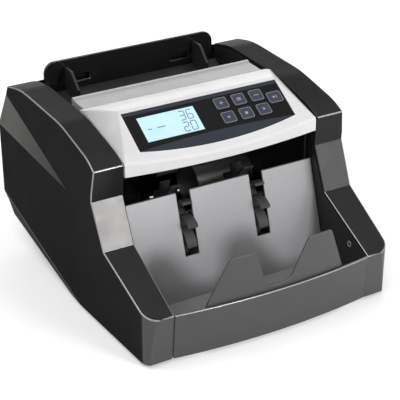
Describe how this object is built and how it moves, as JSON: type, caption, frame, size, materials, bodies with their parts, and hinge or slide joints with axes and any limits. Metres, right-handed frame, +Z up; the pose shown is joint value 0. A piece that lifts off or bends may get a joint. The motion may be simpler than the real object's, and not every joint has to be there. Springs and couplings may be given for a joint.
{
  "type": "banknote counting machine",
  "caption": "Desktop note counter with a rear hopper, sloped console with display and keys, friction feed rollers, finned stacker wheels and an open front pocket.",
  "frame": {"origin": "centre of the machine's footprint, on the surface it stands on", "axes": "+X to the operator's right, +Y to the back, +Z up; the pocket faces -Y"},
  "size_m": [0.269, 0.3006, 0.179],
  "materials": {
    "dark_shell": "satin moulded black plastic",
    "grey_shell": "satin grey plastic",
    "pale_shell": "fine satin pale plastic",
    "pale_rim": "fine satin light grey plastic",
    "gloss_black": "gloss black",
    "black_inner": "matt black",
    "silver_tray": "silver paint",
    "lcd_glass": "pale blue backlit display",
    "wheel_rubber": "dark moulded elastomer",
    "key_grey": "satin grey blue",
    "sensor_clear": "clear dark lens",
    "zinc_steel": "zinc plated",
    "bright_steel": "ground",
    "bronze": "sintered bronze",
    "rubber": "matt rubber",
    "white_plastic": "natural acetal",
    "rocker_black": "gloss black",
    "board_green": "solder mask green",
    "iron_core": "varnished laminations"
  },
  "bodies": {
    "base": {"left_side_cover": "dark_shell", "right_side_cover": "dark_shell", "rear_cover": "dark_shell", "front_bar": "grey_shell", "stop_plate": "grey_shell", "console_cover": "pale_shell", "hopper_rim": "pale_rim", "hopper_rear_plate": "gloss_black", "control_panel": "gloss_black", "left_cheek": "black_inner", "right_cheek": "black_inner", "hopper_floor": "black_inner", "exit_guide": "black_inner", "separator_bracket": "black_inner", "mains_inlet": "black_inner", "switch_body": "black_inner", "encoder_sensor": "black_inner", "lcd_module": "black_inner", "stacker_tray": "silver_tray", "lcd_window": "lcd_glass", "stack_sensors": "sensor_clear", "base_pan": "zinc_steel", "left_frame_plate": "zinc_steel", "right_frame_plate": "zinc_steel", "cross_members": "zinc_steel", "board_standoffs": "zinc_steel", "motor": "zinc_steel", "machine_screws": "zinc_steel", "shaft_bushes": "bronze", "rubber_feet": "rubber", "separator_pads": "rubber", "drive_belt": "rubber", "main_board": "board_green", "key_board": "board_green", "count_sensor_board": "board_green", "transformer": "iron_core"},
    "feed": {"feed_shaft": "bright_steel", "feed_rollers": "rubber", "feed_pulley": "white_plastic", "encoder_disc": "white_plastic"},
    "pickup": {"pickup_shaft": "bright_steel", "pickup_rollers": "rubber", "pickup_pulley": "white_plastic"},
    "stacker": {"stacker_shaft": "bright_steel", "stacker_wheels": "wheel_rubber", "stacker_pulley": "white_plastic"},
    "motor_rotor": {"motor_shaft": "bright_steel", "motor_pulley": "white_plastic"},
    "pinch": {"pinch_shaft": "bright_steel", "pinch_rollers": "rubber"},
    "left_guide": {"left_note_guide": "black_inner"},
    "right_guide": {"right_note_guide": "black_inner"},
    "rocker": {"power_rocker": "rocker_black"},
    "high_key_1_cap": {"high_key_1": "key_grey"},
    "high_key_2_cap": {"high_key_2": "key_grey"},
    "high_key_3_cap": {"high_key_3": "key_grey"},
    "low_key_1_cap": {"low_key_1": "key_grey"},
    "low_key_2_cap": {"low_key_2": "key_grey"},
    "low_key_3_cap": {"low_key_3": "key_grey"},
    "start_key_cap": {"start_key": "key_grey"}
  },
  "joints": [
    {"name": "feed_spin", "type": "hinge", "parent": "base", "child": "feed", "pos_m": [0, 0.046, 0.11], "axis": [1, 0, 0], "continuous": true},
    {"name": "pickup_spin", "type": "hinge", "parent": "base", "child": "pickup", "pos_m": [0, 0.1, 0.124], "axis": [1, 0, 0], "continuous": true},
    {"name": "stacker_spin", "type": "hinge", "parent": "base", "child": "stacker", "pos_m": [0, -0.027, 0.072], "axis": [1, 0, 0], "continuous": true},
    {"name": "motor_spin", "type": "hinge", "parent": "base", "child": "motor_rotor", "pos_m": [0, 0.075, 0.045], "axis": [1, 0, 0], "continuous": true},
    {"name": "pinch_spin", "type": "hinge", "parent": "base", "child": "pinch", "pos_m": [0, 0.01847, 0.10262], "axis": [1, 0, 0], "continuous": true},
    {"name": "left_guide_slide", "type": "slide", "parent": "base", "child": "left_guide", "axis": [1, 0, 0], "range_m": [-0.004, 0.02]},
    {"name": "right_guide_slide", "type": "slide", "parent": "base", "child": "right_guide", "axis": [1, 0, 0], "range_m": [-0.02, 0.004]},
    {"name": "rocker_tilt", "type": "hinge", "parent": "base", "child": "rocker", "pos_m": [-0.02, 0.1462, 0.06], "axis": [1, 0, 0], "range_deg": [0, 20]},
    {"name": "high_key_1_press", "type": "slide", "parent": "base", "child": "high_key_1_cap", "axis": [0, 0.506, -0.8625], "range_m": [0, 0.0007], "stiffness_N_per_m": 900, "springref_m": -0.0003},
    {"name": "high_key_2_press", "type": "slide", "parent": "base", "child": "high_key_2_cap", "axis": [0, 0.506, -0.8625], "range_m": [0, 0.0007], "stiffness_N_per_m": 900, "springref_m": -0.0003},
    {"name": "high_key_3_press", "type": "slide", "parent": "base", "child": "high_key_3_cap", "axis": [0, 0.506, -0.8625], "range_m": [0, 0.0007], "stiffness_N_per_m": 900, "springref_m": -0.0003},
    {"name": "low_key_1_press", "type": "slide", "parent": "base", "child": "low_key_1_cap", "axis": [0, 0.506, -0.8625], "range_m": [0, 0.0007], "stiffness_N_per_m": 900, "springref_m": -0.0003},
    {"name": "low_key_2_press", "type": "slide", "parent": "base", "child": "low_key_2_cap", "axis": [0, 0.506, -0.8625], "range_m": [0, 0.0007], "stiffness_N_per_m": 900, "springref_m": -0.0003},
    {"name": "low_key_3_press", "type": "slide", "parent": "base", "child": "low_key_3_cap", "axis": [0, 0.506, -0.8625], "range_m": [0, 0.0007], "stiffness_N_per_m": 900, "springref_m": -0.0003},
    {"name": "start_key_press", "type": "slide", "parent": "base", "child": "start_key_cap", "axis": [0, 0.506, -0.8625], "range_m": [0, 0.0007], "stiffness_N_per_m": 900, "springref_m": -0.0003}
  ],
  "couplings": [
    {"joint": "pickup_spin", "follows": "feed_spin", "ratio": 1.3333},
    {"joint": "stacker_spin", "follows": "feed_spin", "ratio": 1.1429},
    {"joint": "motor_spin", "follows": "feed_spin", "ratio": 1.7778},
    {"joint": "pinch_spin", "follows": "feed_spin", "ratio": -2.5},
    {"joint": "right_guide_slide", "follows": "left_guide_slide", "ratio": -1}
  ]
}
